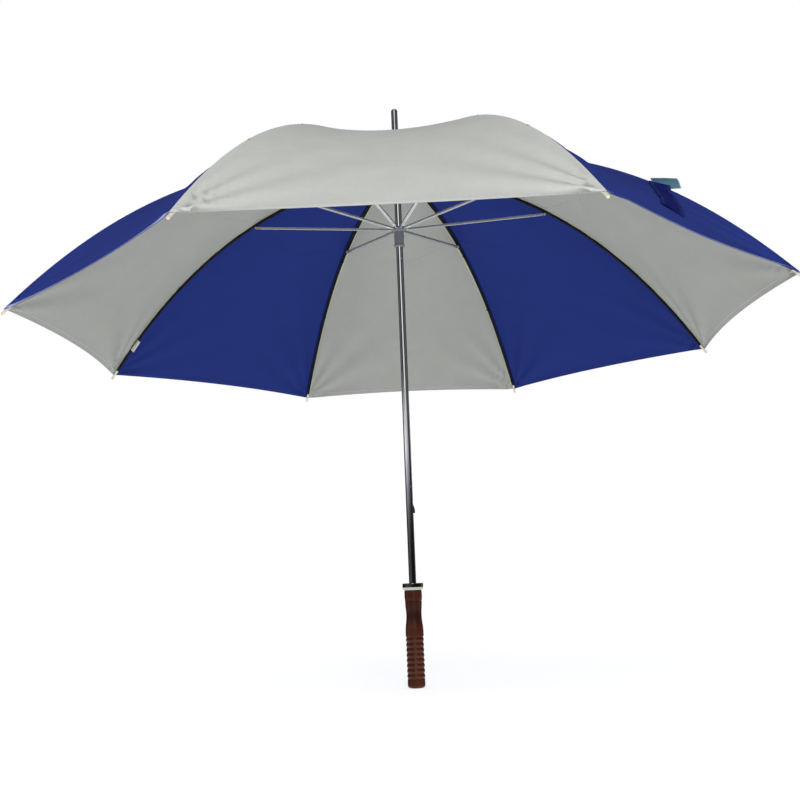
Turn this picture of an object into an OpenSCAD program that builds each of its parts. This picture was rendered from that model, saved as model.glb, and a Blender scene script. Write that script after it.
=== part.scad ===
// Golf umbrella with eight panels, open, standing on the end of its handle.
// Z runs up the shaft from the middle of the handle's end. Each rib lies in a plane through Z.
// Rib 1 is at 22.5 degrees from X, and panel n runs from rib n to rib n + 1.

/* [Canopy] */
// Radius of the circle through the ends of the rib tips
open_radius = 650; // [620:1:680]
// Height of the fabric at the crown
crown_height = 912.6; // [905:0.1:920]
// How far the ribs drop from the crown to the tips by bending
rib_drop = 276.4; // [240:0.1:300]
// How suddenly the ribs bend towards their tips
rib_bend = 2.69; // [2:0.01:3]
// Slope of the ribs where they leave the crown
crown_slope = 0.06; // [0.04:0.01:0.08]
// Thickness of the fabric, drawn heavier than cloth so that it is a solid
fabric_t = 0.6; // [0.4:0.1:0.8]
// How far the middle of a panel sags below the line between its ribs
panel_sag = 15; // [5:1:20]
// How far the hem curves in between the rib tips
hem_rise = 11; // [4:1:18]

/* [Frame] */
// Radius of the circle of wire that the ribs and stretchers turn on
wire_ring_r = 10; // [9.8:0.1:10.4]
// Height of the rib pivots in the crown
crown_pivot_z = 907.5; // [906.5:0.1:908]
// Radius at which a stretcher joins its rib
joint_r = 300; // [280:1:320]
// Height at which a stretcher joins its rib
joint_z = 849.5; // [848:0.1:850.5]
// Width of a rib where it carries the stretcher
rib_w = 4.4; // [4.2:0.1:4.8]
// Depth of a rib
rib_h = 4; // [3.6:0.1:4.2]
// Gauge of the sheet steel in the ribs and stretchers
gauge = 0.5; // [0.4:0.05:0.6]
// Length of a rib tip
tip_len = 21; // [18:1:24]

/* [Shaft and handle] */
// Diameter of the shaft
shaft_d = 12; // [11.5:0.1:12.2]
// Wall of the shaft
shaft_wall = 0.8; // [0.6:0.1:1]
// Height of the top of the wooden handle
handle_h = 157.6; // [155:0.1:160]
// Largest diameter of the handle
handle_d = 30; // [28:0.5:32]
// Number of grooves turned in the grip
grooves = 9; // [6:1:9]
// Spacing of the grooves
groove_pitch = 8.3; // [8:0.1:8.6]
// Height of the tip of the ferrule
top_z = 1021; // [1000:1:1040]

/* [Hidden] */
$fn = 48;
RIBS = 8;
rib_step = 360 / RIBS;
half_step = rib_step / 2;

shaft_r = shaft_d / 2;
bore_r = shaft_r + 0.05;
ferrule_r = shaft_r - 0.2;
ferrule_shoulder = 916;
shaft_bottom = 30;
wire_r = 0.6;
eye_r = 2.2;
eye_w = 2.2;
eye_bore_r = wire_r + 0.1;
notch_w = eye_w + 0.6;
notch_r = wire_ring_r - eye_r - 0.3;
hub_r = wire_ring_r + 1.5;

// The runner's pivots lie as far below the joints as the crown's lie above them.
runner_pivot_z = 2 * joint_z - crown_pivot_z;
stretcher_len = norm([joint_r - wire_ring_r, crown_pivot_z - joint_z]);
stretcher_tilt = atan2(joint_z - runner_pivot_z, joint_r - wire_ring_r);

seam_gap = 0.2;
strap_lift = 0.8;
rib_gap = fabric_t + 1.2;
tip_overhang = 4.5;
corner_r = open_radius - tip_overhang;
rib_end_r = corner_r - 8;
panel_start = 7;
panel_rows = 16;
panel_cols = 8;
flex_r = joint_r + 9;
outer_rib_w = rib_w - 2 * gauge - 0.2;
lug_w = rib_w - 2 * gauge;
lug_r = 2.4;
rivet_r = 0.85;
channel_w = 5;
channel_wall = 0.6;
channel_h = 3.2;
tip_r = 2.5;
spigot_r = 1.1;
spigot_len = 10;

runner_h = 33.5;
catch_slot_w = 3.4;
catch_slot_r = 9.2;
catch_w = 2.6;
catch_pin_r = 0.8;
catch_pin_x = 3.2;
catch_arm = 45;
bottom_catch_z = 285;
top_catch_z = 780;

steel = "gainsboro";
white_cloth = "gainsboro";
blue_cloth = "midnightblue";

// ---- The curve of a rib ----

// Height of the fabric above a rib at radius r, and its slope there.
function fabric_z(r) = crown_height - crown_slope * r - rib_drop * pow(r / open_radius, rib_bend);
function fabric_slope(r) = -crown_slope - rib_drop * rib_bend / open_radius * pow(r / open_radius, rib_bend - 1);

// Unit direction, as [radius, height], from the fabric straight in towards the frame.
function inward(r) = [fabric_slope(r), -1] / norm([fabric_slope(r), -1]);

// Unit direction along the rib, away from the crown.
function along(r) = [1, fabric_slope(r)] / norm([1, fabric_slope(r)]);

// Point at a depth under the fabric.
function under(r, depth) = [r, fabric_z(r)] + depth * inward(r);

// Outline of a strip that follows the rib from r0 to r1, between two depths.
function strip(r0, r1, depth0, depth1, steps) = concat(
    [for (i = [0:steps]) under(r0 + (r1 - r0) * i / steps, depth0)],
    [for (i = [steps:-1:0]) under(r0 + (r1 - r0) * i / steps, depth1)]
);

function rib_angle(k) = half_step + rib_step * (k - 1);

// Draws an outline of [radius, height] as a plate of width w, shifted sideways by y.
module plate(w, y = 0) {
    translate([0, y, 0]) rotate([90, 0, 0]) linear_extrude(w, center = true) children();
}

module at_rib(k) {
    rotate([0, 0, rib_angle(k)]) children();
}

module wire_ring(z) {
    translate([0, 0, z]) rotate_extrude() translate([wire_ring_r, 0]) circle(wire_r, $fn = 24);
}

// Groove round a hub, in which the wire lies.
module wire_groove(z) {
    translate([0, 0, z]) rotate_extrude() {
        translate([wire_ring_r, 0]) circle(wire_r + 0.05, $fn = 24);
        translate([wire_ring_r, -wire_r - 0.05]) square([hub_r, 2 * wire_r + 0.1]);
    }
}

// Slots in a hub for the eyes, from z0 to z1.
module eye_slots(z0, z1) {
    for (k = [1:RIBS]) at_rib(k) translate([notch_r, -notch_w / 2, z0]) cube([hub_r, notch_w, z1 - z0]);
}

// ---- Shaft, handle and ferrule ----

module shaft() {
    inner_r = shaft_r - shaft_wall;
    color(steel) difference() {
        translate([0, 0, shaft_bottom]) cylinder(h = ferrule_shoulder - shaft_bottom, r = shaft_r);
        translate([0, 0, shaft_bottom - 1]) cylinder(h = ferrule_shoulder, r = inner_r);
        catch_window(bottom_catch_z, 1);
        catch_window(top_catch_z, -1);
        catch_pin_holes();
        stop_pin_at(bore = true);
    }
}

// Slot in the shaft's wall for a catch. It runs from the catch's square end towards its pin.
module catch_window(z, up) {
    length = 22;
    low = up > 0 ? z - 1 : z + 1 - length;
    translate([0, -(catch_w + 0.6) / 2, low]) cube([shaft_d, catch_w + 0.6, length]);
}

module handle() {
    waist_r = handle_d * 0.425;
    bulge_r = handle_d / 2 - 0.1;
    bead_r = handle_d / 2 - 0.5;
    grip_top = 81;
    bulge_z = 90;
    waist_z = 118;
    bead_z = 139.5;
    end_round = 4.5;
    // One ring of the grip bulges out between its two grooves.
    function ring(i) = [for (a = [0.06, 0.25, 0.5, 0.75, 0.94])
        [bulge_r - 1.1 * pow(cos(a * 180), 2), grip_top - (i + a) * groove_pitch]];
    function blend(z0, z1, ra, rb, n) = [for (i = [0:n])
        [ra + (rb - ra) * (1 - cos(180 * i / n)) / 2, z0 + (z1 - z0) * i / n]];
    outline = concat(
        [[0, handle_h], [bead_r - 1.6, handle_h]],
        [for (a = [60:-20:0]) [bead_r - 1.6 + 1.6 * cos(a), handle_h - 3 + 3 * sin(a)]],
        [[bead_r, bead_z + 6], [bead_r - 0.4, bead_z + 0.8]],
        [[bead_r - 1.1, bead_z], [bead_r - 0.5, bead_z - 0.8]],
        blend(bead_z - 2, waist_z, bead_r - 0.6, waist_r, 8),
        blend(waist_z - 2, bulge_z, waist_r, bulge_r, 8),
        [[bulge_r, grip_top + 2.5], [bulge_r - 0.3, grip_top + 0.8], [bulge_r - 1.1, grip_top]],
        [for (i = [0:grooves - 2]) each concat(ring(i), [[bulge_r - 1.2, grip_top - (i + 1) * groove_pitch]])],
        [[bulge_r - 0.5, grip_top - (grooves - 1) * groove_pitch - 1.2]],
        [for (a = [0:15:90]) [bulge_r - 0.4 - end_round + end_round * cos(a), end_round - end_round * sin(a)]],
        [[0, 0]]
    );
    color("saddlebrown") difference() {
        rotate_extrude($fn = 64) polygon(outline);
        translate([0, 0, shaft_bottom - 2]) cylinder(h = handle_h, r = bore_r);
    }
}

module handle_collar() {
    rim_r = 17.3;
    color("silver") rotate_extrude($fn = 64) polygon([
        [bore_r, handle_h + 0.1], [14.9, handle_h + 0.1], [15.6, handle_h + 1], [rim_r - 0.4, handle_h + 3.4],
        [rim_r, handle_h + 4.6], [rim_r, handle_h + 10.2], [rim_r - 0.5, handle_h + 10.9],
        [rim_r - 1.3, handle_h + 10.9], [rim_r - 1.8, handle_h + 9.4], [bore_r, handle_h + 8.6]
    ]);
}

module ferrule() {
    round_r = 3.6;
    spigot_h = 22;
    inner_r = shaft_r - shaft_wall - 0.05;
    color("silver") rotate_extrude() polygon(concat(
        [[0, ferrule_shoulder - spigot_h], [inner_r, ferrule_shoulder - spigot_h]],
        [[inner_r, ferrule_shoulder], [ferrule_r, ferrule_shoulder]],
        [for (a = [0:15:90]) [ferrule_r - round_r + round_r * cos(a), top_z - round_r + round_r * sin(a)]],
        [[0, top_z]]
    ));
}

// Moulded cap that presses the rosette and the points of the panels onto the crown.
module cap_washer() {
    base_z = crown_height + 1.1;
    color("whitesmoke") rotate_extrude() polygon([
        [bore_r, base_z], [12, base_z - 0.1], [12.4, base_z + 0.6], [11.6, base_z + 1.6],
        [8.4, base_z + 2.3], [bore_r, base_z + 2.3]
    ]);
}

module rosette() {
    rim = 22;
    low = crown_height + 0.3;
    color(white_cloth) rotate_extrude(convexity = 4) polygon([
        [bore_r, low], [rim, low - crown_slope * rim], [rim, low - crown_slope * rim + 0.6], [bore_r, low + 0.6]
    ]);
}

// ---- Crown and runner ----

module crown() {
    pin_z = crown_pivot_z;
    top = crown_height - 1.9;
    color("dimgray") difference() {
        union() {
            translate([0, 0, pin_z - 1.6]) cylinder(h = top - pin_z + 1.6, r = hub_r);
            translate([0, 0, pin_z - 14]) cylinder(h = 14, r = notch_r);
        }
        translate([0, 0, pin_z - 20]) cylinder(h = 40, r = bore_r);
        wire_groove(pin_z);
        eye_slots(pin_z - 3, pin_z + eye_r + 0.25);
    }
}

module crown_wire() {
    color("silver") wire_ring(crown_pivot_z);
}

module runner() {
    pin_z = runner_pivot_z;
    body_r = 8.5;
    foot_r = 9.6;
    bottom = pin_z - runner_h;
    color("slategray") difference() {
        union() {
            translate([0, 0, pin_z - 3.6]) cylinder(h = 5.2, r = hub_r);
            translate([0, 0, pin_z - 6.6]) cylinder(h = 3, r1 = body_r, r2 = hub_r);
            translate([0, 0, bottom]) cylinder(h = runner_h - 6.6, r = body_r);
            translate([0, 0, bottom]) cylinder(h = 2.2, r = foot_r);
            translate([0, 0, bottom + 2.2]) cylinder(h = 1.6, r1 = foot_r, r2 = body_r);
        }
        translate([0, 0, bottom - 1]) cylinder(h = runner_h + 10, r = bore_r);
        wire_groove(pin_z);
        eye_slots(pin_z - eye_r - 0.3, pin_z + 3);
        // Keyway that the catches pass along.
        translate([0, -catch_slot_w / 2, bottom - 1]) cube([catch_slot_r, catch_slot_w, runner_h + 10]);
    }
}

module runner_wire() {
    color("silver") wire_ring(runner_pivot_z);
}

// ---- Catches and pins inside the shaft ----

// Sprung catch with its square end at height z. Its pin is catch_arm above it, or below where up is -1.
module catch_spring(z, up) {
    leaf_x = 4.2;
    leaf_t = 0.7;
    nose_x = shaft_r + 2.8;
    nose_len = 19;
    color("dimgray") translate([0, 0, z]) mirror([0, 0, up > 0 ? 0 : 1]) difference() {
        plate(catch_w) {
            polygon([
                [leaf_x, 0], [nose_x - 0.4, 0], [nose_x, 1.2], [nose_x, 6], [leaf_x + leaf_t, nose_len],
                [leaf_x + leaf_t, catch_arm], [leaf_x, catch_arm]
            ]);
            translate([catch_pin_x, catch_arm]) circle(leaf_x + leaf_t - catch_pin_x, $fn = 24);
        }
        plate(catch_w + 1) translate([catch_pin_x, catch_arm]) circle(catch_pin_r + 0.05, $fn = 24);
    }
}

module bottom_catch() {
    catch_spring(bottom_catch_z, 1);
}

module top_catch() {
    catch_spring(top_catch_z, -1);
}

module catch_pin_at(z, r, length) {
    translate([catch_pin_x, 0, z]) rotate([90, 0, 0]) cylinder(h = length, r = r, center = true, $fn = 24);
}

module catch_pins() {
    length = 2 * sqrt(pow(shaft_r, 2) - pow(catch_pin_x + catch_pin_r, 2));
    color("silver") {
        catch_pin_at(bottom_catch_z + catch_arm, catch_pin_r, length);
        catch_pin_at(top_catch_z - catch_arm, catch_pin_r, length);
    }
}

module catch_pin_holes() {
    catch_pin_at(bottom_catch_z + catch_arm, catch_pin_r + 0.02, 2 * shaft_d);
    catch_pin_at(top_catch_z - catch_arm, catch_pin_r + 0.02, 2 * shaft_d);
}

module stop_pin_at(bore = false) {
    pin_r = 1;
    translate([0, 0, runner_pivot_z + 3.4]) rotate([0, 90, 0])
        cylinder(h = bore ? 3 * shaft_d : 16.4, r = bore ? pin_r + 0.02 : pin_r, center = true, $fn = 24);
}

module stop_pin() {
    color("silver") stop_pin_at();
}

// ---- Ribs and stretchers ----

// Channel of folded sheet, open towards the shaft, that follows the rib.
module rib_channel(web_r0, web_r1, wall_r0, wall_r1, w, steps) {
    plate(w) polygon(strip(web_r0, web_r1, rib_gap, rib_gap + gauge, steps));
    for (side = [-1, 1]) plate(gauge, side * (w - gauge) / 2)
        polygon(strip(wall_r0, wall_r1, rib_gap + gauge / 2, rib_gap + rib_h, steps));
}

module inner_rib(k) {
    start_r = 16;
    web_end = flex_r - 4;
    ear_end = flex_r + 7;
    steps = 9;
    color("#202226") at_rib(k) {
        rib_channel(start_r, web_end, start_r, ear_end, rib_w, steps);
        // Flattened end, pierced for the crown's wire.
        difference() {
            plate(eye_w) union() {
                translate([wire_ring_r, crown_pivot_z]) circle(eye_r, $fn = 24);
                polygon([
                    [wire_ring_r, crown_pivot_z - 1.4], [wire_ring_r, crown_pivot_z + 1.4],
                    under(start_r, rib_gap + 0.2), under(start_r + 7, rib_gap + 0.2),
                    under(start_r + 7, rib_gap + rib_h - 0.8), under(start_r, rib_gap + rib_h - 0.8)
                ]);
            }
            plate(eye_w + 1) translate([wire_ring_r, crown_pivot_z]) circle(eye_bore_r, $fn = 24);
        }
        // Lug that the stretcher's fork is riveted to.
        difference() {
            plate(lug_w) union() {
                translate([joint_r, joint_z]) circle(lug_r, $fn = 24);
                polygon([
                    [joint_r - lug_r, joint_z], [joint_r + lug_r, joint_z],
                    under(joint_r + lug_r, rib_gap + 1.5), under(joint_r - lug_r, rib_gap + 1.5)
                ]);
            }
            plate(lug_w + 1) translate([joint_r, joint_z]) circle(rivet_r + 0.05, $fn = 24);
        }
    }
}

module outer_rib(k) {
    start_r = flex_r - 2.5;
    steps = 14;
    spigot_at = under(rib_end_r, rib_gap + rib_h / 2);
    lean = atan2(along(rib_end_r)[1], along(rib_end_r)[0]);
    color("#202226") at_rib(k) {
        rib_channel(start_r, rib_end_r, start_r, rib_end_r, outer_rib_w, steps);
        // Round end that the tip is pushed onto, held in a short plug inside the channel.
        translate([spigot_at[0], 0, spigot_at[1]]) rotate([0, -lean, 0]) {
            translate([-5, 0, 0]) rotate([0, 90, 0]) cylinder(h = 5 + spigot_len, r = spigot_r, $fn = 24);
            translate([-6, -(outer_rib_w - gauge) / 2, -1.3]) cube([5, outer_rib_w - gauge, 2.9]);
        }
    }
}

module rib_tip(k) {
    seat = under(rib_end_r, rib_gap + rib_h / 2) + 0.6 * along(rib_end_r);
    lean = atan2(along(rib_end_r)[1], along(rib_end_r)[0]);
    round_r = 1.6;
    color("ivory") at_rib(k) translate([seat[0], 0, seat[1]]) rotate([0, 90 - lean, 0]) difference() {
        rotate_extrude($fn = 24) polygon(concat(
            [[0, 0], [tip_r - 0.4, 0], [tip_r, 0.5], [tip_r, 5.5], [tip_r - 0.5, 6.5], [tip_r - 0.2, 8]],
            [for (a = [0:30:90]) [tip_r - 0.2 - round_r + round_r * cos(a), tip_len - round_r + round_r * sin(a)]],
            [[0, tip_len]]
        ));
        translate([0, 0, -1]) cylinder(h = spigot_len + 1, r = spigot_r + 0.05, $fn = 24);
    }
}

// Stretcher from the runner's wire to the joint on the rib. Its web stops short of both ends.
module stretcher(k) {
    web_start = 6;
    fork_len = 3.4;
    fork_r = 2.4;
    inner_w = channel_w - 2 * channel_wall;
    half_h = channel_h / 2;
    color("silver") at_rib(k)
        translate([wire_ring_r, 0, runner_pivot_z]) rotate([0, -stretcher_tilt, 0]) {
            // Web, walls and fork.
            plate(channel_w) translate([web_start, half_h - channel_wall])
                square([stretcher_len - fork_len - web_start, channel_wall]);
            for (side = [-1, 1]) plate(channel_wall, side * (channel_w - channel_wall) / 2) {
                translate([web_start, -half_h]) square([stretcher_len - web_start, channel_h]);
                translate([stretcher_len, 0]) circle(fork_r, $fn = 24);
            }
            // Flattened end, pierced for the runner's wire.
            difference() {
                union() {
                    plate(eye_w) {
                        circle(eye_r, $fn = 24);
                        translate([0, -1.3]) square([web_start + 1, 2.6]);
                    }
                    plate(inner_w + 0.2) translate([web_start, -1.3]) square([7, 2.6]);
                }
                plate(eye_w + 1) circle(eye_bore_r, $fn = 24);
            }
            // Rivet through the fork and the rib's lug.
            translate([stretcher_len, 0, 0]) rotate([90, 0, 0]) {
                cylinder(h = channel_w + 0.8, r = rivet_r, center = true, $fn = 24);
                for (side = [-1, 1]) translate([0, 0, side * (channel_w + 0.4) / 2])
                    cylinder(h = 0.5, r = 1.5, center = true, $fn = 24);
            }
        }
}

// ---- Canopy ----

// Share of the sag at a fraction u of the way down a panel: none at the crown, most beyond the joint.
function sag_share(u) = u * (1.25 - u) / 0.39;

// Point on a panel centred on the X axis. u runs from the crown to the hem, and v from rib to rib.
function panel_point(u, v, depth) =
    let (
        edge_r = panel_start + (corner_r - panel_start) * u,
        r = edge_r - hem_rise * pow(u, 8) * (1 - v * v) * 0.75,
        y = r * sin(half_step) * v,
        x = r * cos(half_step),
        flat = depth + panel_sag * sag_share(u) * (1 - v * v),
        n = inward(r),
        aside = seam_gap * (abs(v) > 0.99 ? 1 : 0) * sign(v)
    )
    [x + n[0] * flat * cos(half_step * v) - abs(aside) * sin(half_step),
     y + n[0] * flat * sin(half_step * v) - aside * cos(half_step),
     fabric_z(r) + n[1] * flat];

module panel(k) {
    across = panel_cols + 1;
    layer = (panel_rows + 1) * across;
    function at(side, i, j) = side * layer + i * across + j;
    points = [for (side = [0, 1]) for (i = [0:panel_rows]) for (j = [0:panel_cols])
        panel_point(pow(i / panel_rows, 0.8), 2 * j / panel_cols - 1, side * fabric_t)];
    faces = concat(
        [for (i = [0:panel_rows - 1]) for (j = [0:panel_cols - 1])
            each [[at(0, i, j), at(0, i, j + 1), at(0, i + 1, j + 1)], [at(0, i, j), at(0, i + 1, j + 1), at(0, i + 1, j)]]],
        [for (i = [0:panel_rows - 1]) for (j = [0:panel_cols - 1])
            each [[at(1, i, j), at(1, i + 1, j + 1), at(1, i, j + 1)], [at(1, i, j), at(1, i + 1, j), at(1, i + 1, j + 1)]]],
        [for (j = [0:panel_cols - 1]) for (i = [0, panel_rows])
            i == 0
                ? [at(0, i, j + 1), at(0, i, j), at(1, i, j), at(1, i, j + 1)]
                : [at(0, i, j), at(0, i, j + 1), at(1, i, j + 1), at(1, i, j)]],
        [for (i = [0:panel_rows - 1]) for (j = [0, panel_cols])
            j == 0
                ? [at(0, i, j), at(0, i + 1, j), at(1, i + 1, j), at(1, i, j)]
                : [at(0, i + 1, j), at(0, i, j), at(1, i, j), at(1, i + 1, j)]]
    );
    color(k % 2 == 0 ? white_cloth : blue_cloth)
        rotate([0, 0, rib_angle(k) + half_step]) polyhedron(points = points, faces = faces, convexity = 6);
}

// ---- Trim ----

// Closing strap, sewn to the middle of a panel near the hem and laid back over it to the seam.
module tie_strap() {
    strap_panel = 7;
    strap_t = 1;
    steps = 12;
    count = 3 * (steps + 1);
    // Each end as [radius, place between the ribs], and how much of each its half width takes.
    seam_end = [462, 0.92];
    hem_end = [584, 0.05];
    half_width = [9, 0.06];
    // t runs along the strap from the seam to the hem, and s across it.
    function strap_place(t, s) = seam_end + (hem_end - seam_end) * t + half_width * s;
    function strap_point(t, s, depth) =
        panel_point((strap_place(t, s)[0] - panel_start) / (corner_r - panel_start), strap_place(t, s)[1], depth);
    function at(side, i, j) = side * count + 3 * i + j;
    function quad(a, b, c, d) = [[a, b, c], [a, c, d]];
    points = [for (side = [0, 1]) for (i = [0:steps]) for (j = [-1:1])
        strap_point(i / steps, j, -strap_lift - strap_t * (1 - side))];
    faces = concat(
        [for (i = [0:steps - 1]) for (j = [0, 1])
            each quad(at(0, i, j + 1), at(0, i + 1, j + 1), at(0, i + 1, j), at(0, i, j))],
        [for (i = [0:steps - 1]) for (j = [0, 1])
            each quad(at(1, i, j), at(1, i + 1, j), at(1, i + 1, j + 1), at(1, i, j + 1))],
        [for (i = [0:steps - 1]) each quad(at(0, i, 0), at(0, i + 1, 0), at(1, i + 1, 0), at(1, i, 0))],
        [for (i = [0:steps - 1]) each quad(at(0, i + 1, 2), at(0, i, 2), at(1, i, 2), at(1, i + 1, 2))],
        [for (j = [0, 1]) each quad(at(0, 0, j + 1), at(0, 0, j), at(1, 0, j), at(1, 0, j + 1))],
        [for (j = [0, 1]) each quad(at(0, steps, j), at(0, steps, j + 1), at(1, steps, j + 1), at(1, steps, j))]
    );
    color(blue_cloth) rotate([0, 0, rib_angle(strap_panel) + half_step])
        polyhedron(points = points, faces = faces, convexity = 4);
}

// Pale tab at the strap's free end. It reaches over the seam and stands clear where the cloth falls away.
module strap_tab() {
    tab_rib = 8;
    tab_r = 444;
    tab_size = [42, 44, 0.6];
    tab_overlap = 8;
    tab_rise = strap_lift + 2;
    tab_tilt = 12;
    color("lightblue") at_rib(tab_rib)
        translate([tab_r, -tab_overlap, fabric_z(tab_r) + tab_rise]) rotate([0, tab_tilt, 0]) cube(tab_size);
}

// Care label sewn into a seam near a rib tip.
module care_label() {
    label_rib = 4;
    label_r = 585;
    label_size = [25, 0.5, 9];
    label_hang = 13;
    beside_rib = 2.6;
    seam_at = under(label_r, 1.4);
    color("ivory") at_rib(label_rib) translate([seam_at[0], beside_rib, seam_at[1]])
        rotate([0, atan2(-along(label_r)[1], along(label_r)[0]), 0])
            translate([0, 0, -label_hang]) cube(label_size);
}

shaft();
handle();
handle_collar();
ferrule();
cap_washer();
rosette();
crown();
crown_wire();
runner();
runner_wire();
top_catch();
bottom_catch();
catch_pins();
stop_pin();
tie_strap();
strap_tab();
care_label();
for (k = [1:RIBS]) {
    inner_rib(k);
    outer_rib(k);
    rib_tip(k);
    stretcher(k);
    panel(k);
}
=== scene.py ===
"""Golf umbrella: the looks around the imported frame. Every length is in metres."""
import math

import bpy
import numpy as np
from mathutils import Matrix, Vector


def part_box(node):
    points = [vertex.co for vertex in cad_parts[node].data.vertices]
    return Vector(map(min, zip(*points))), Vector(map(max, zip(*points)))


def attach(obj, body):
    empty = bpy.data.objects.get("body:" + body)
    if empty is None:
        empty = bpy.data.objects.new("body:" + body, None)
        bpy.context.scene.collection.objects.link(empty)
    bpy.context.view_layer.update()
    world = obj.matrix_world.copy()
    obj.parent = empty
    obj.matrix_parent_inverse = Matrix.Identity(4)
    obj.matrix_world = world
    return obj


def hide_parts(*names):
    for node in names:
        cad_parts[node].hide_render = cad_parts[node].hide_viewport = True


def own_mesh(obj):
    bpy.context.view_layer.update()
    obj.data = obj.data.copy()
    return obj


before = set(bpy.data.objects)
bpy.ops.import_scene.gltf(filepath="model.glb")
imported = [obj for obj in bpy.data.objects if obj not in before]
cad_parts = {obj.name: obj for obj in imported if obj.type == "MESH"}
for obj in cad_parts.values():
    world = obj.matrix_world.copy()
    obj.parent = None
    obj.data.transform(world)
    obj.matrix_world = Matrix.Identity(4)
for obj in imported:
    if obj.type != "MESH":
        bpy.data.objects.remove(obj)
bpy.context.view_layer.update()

RIBS = 8
STEP = math.tau / RIBS
HALF = STEP / 2
TAN_HALF = math.tan(HALF)

# The canopy's curve, as the CAD model has it.
OPEN_R = 0.650
CROWN_Z = 0.9126
RIB_DROP = 0.2764
RIB_BEND = 2.69
CROWN_SLOPE = 0.06
PANEL_SAG = 0.015
HEM_RISE = 0.011
CORNER_R = OPEN_R - 0.0045
START_R = 0.0075
FLEX_R = 0.3075
RIB_GAP = 0.0018
RIB_H = 0.004

# The cloth: how deep its outer face lies in the CAD shell, its thickness, and its hem, seams and lap. A hair
# is the least distance between two layers.
CLOTH_DEPTH = 0.0001
CLOTH_T = 0.00035
HEM_W = 0.007
HEM_LIFT = 0.00015
HEM_PAST = 0.0003
EDGE_W = 0.0016
STITCH_IN = 0.0012
STITCH_W = 0.0006
SEAM_W = 0.0062
SEAM_START_R = 0.024
LAP_W = 0.014
LAP_PAST = 0.004
HAIR = 0.00005

# Where the small soft pieces are: radii along a rib, and the ribs and panels they belong to.
TIE_AT = (0.340, 0.482)
STRAP_PANEL = 7
STRAP_RIB = 8
TAB_R = 0.444
LABEL_RIB = 4
LABEL_R = 0.585

# The handle's radius in its grooves and on its rings.
GROOVE_R = 0.0126
RING_R = 0.0149


# ---- Small helpers ----

def smooth(x):
    x = np.clip(x, 0, 1)
    return x * x * (3 - 2 * x)


def rib_azimuth(k):
    return HALF + STEP * (k - 1)


def turn_z(points, angle):
    c, s = math.cos(angle), math.sin(angle)
    return points @ np.array([[c, s, 0], [-s, c, 0], [0, 0, 1]])


def unit(vectors):
    return vectors / np.maximum(np.linalg.norm(vectors, axis=-1, keepdims=True), 1e-12)


def grid_normals(grid):
    """Unit normals of a grid of points, by its rows and columns."""
    return unit(np.cross(np.gradient(grid, axis=0), np.gradient(grid, axis=1)))


def corner_vertices(mesh):
    corners = np.zeros(len(mesh.loops), np.int32)
    mesh.loops.foreach_get("vertex_index", corners)
    return corners


def vertex_places(mesh):
    places = np.zeros(len(mesh.vertices) * 3)
    mesh.vertices.foreach_get("co", places)
    return places.reshape(-1, 3)


def add_uv(mesh, flat):
    """Gives the mesh the flat coordinates of each of its vertices, as its only UV layer."""
    layer = mesh.uv_layers.new(name="cloth")
    layer.data.foreach_set("uv", flat[corner_vertices(mesh)].ravel())


def new_object(name, verts, faces, materials, face_slots=None):
    mesh = bpy.data.meshes.new(name)
    mesh.from_pydata([tuple(map(float, v)) for v in verts], [], [tuple(map(int, f)) for f in faces])
    for material in materials:
        mesh.materials.append(material)
    if face_slots is not None:
        mesh.polygons.foreach_set("material_index", np.array(face_slots, np.int32))
    mesh.polygons.foreach_set("use_smooth", np.ones(len(mesh.polygons), bool))
    mesh.update()
    piece = bpy.data.objects.new(name, mesh)
    bpy.context.scene.collection.objects.link(piece)
    return piece


# ---- Materials ----

def add_node(tree, kind, inputs=None, **settings):
    """Adds a node. An input is a value, or the output socket that feeds it."""
    node = tree.nodes.new(kind)
    for key, value in settings.items():
        setattr(node, key, value)
    for key, value in (inputs or {}).items():
        if isinstance(value, bpy.types.NodeSocket):
            tree.links.new(value, node.inputs[key])
        else:
            node.inputs[key].default_value = value
    return node


class Nodes:
    """A material's node tree, with short calls to add and join nodes."""

    def __init__(self, name):
        self.material = bpy.data.materials.new(name)
        self.material.use_nodes = True
        self.tree = self.material.node_tree
        self.shader = self.tree.nodes["Principled BSDF"]

    def add(self, kind, inputs=None, **settings):
        return add_node(self.tree, kind, inputs, **settings)

    def set(self, **sockets):
        for key, value in sockets.items():
            socket = self.shader.inputs[key.replace("_", " ")]
            if isinstance(value, bpy.types.NodeSocket):
                self.tree.links.new(value, socket)
            else:
                socket.default_value = value

    def coords(self, scale, kind="Object"):
        where = self.add("ShaderNodeTexCoord").outputs[kind]
        return self.add("ShaderNodeMapping", {"Vector": where, "Scale": scale}).outputs["Vector"]

    def noise(self, vector, scale, detail=4.0, rough=0.55):
        inputs = {"Vector": vector, "Scale": scale, "Detail": detail, "Roughness": rough}
        return self.add("ShaderNodeTexNoise", inputs).outputs["Fac"]

    def ramp(self, fac, low, high, start=0.0, end=1.0):
        node = self.add("ShaderNodeValToRGB", {"Fac": fac})
        node.color_ramp.elements[0].position = start
        node.color_ramp.elements[1].position = end
        node.color_ramp.elements[0].color = (*low, 1)
        node.color_ramp.elements[1].color = (*high, 1)
        return node.outputs["Color"]

    def level(self, fac, low, high):
        node = self.add("ShaderNodeMapRange", {"Value": fac, "To Min": low, "To Max": high})
        return node.outputs["Result"]

    def math(self, operation, a, b=0.0):
        return self.add("ShaderNodeMath", {0: a, 1: b}, operation=operation).outputs[0]

    def bump(self, height, strength, distance, under=None):
        inputs = {"Height": height, "Strength": strength, "Distance": distance}
        if under is not None:
            inputs["Normal"] = under
        return self.add("ShaderNodeBump", inputs).outputs["Normal"]


def scaled(colour, factor):
    return tuple(min(1.0, c * factor) for c in colour)


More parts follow.
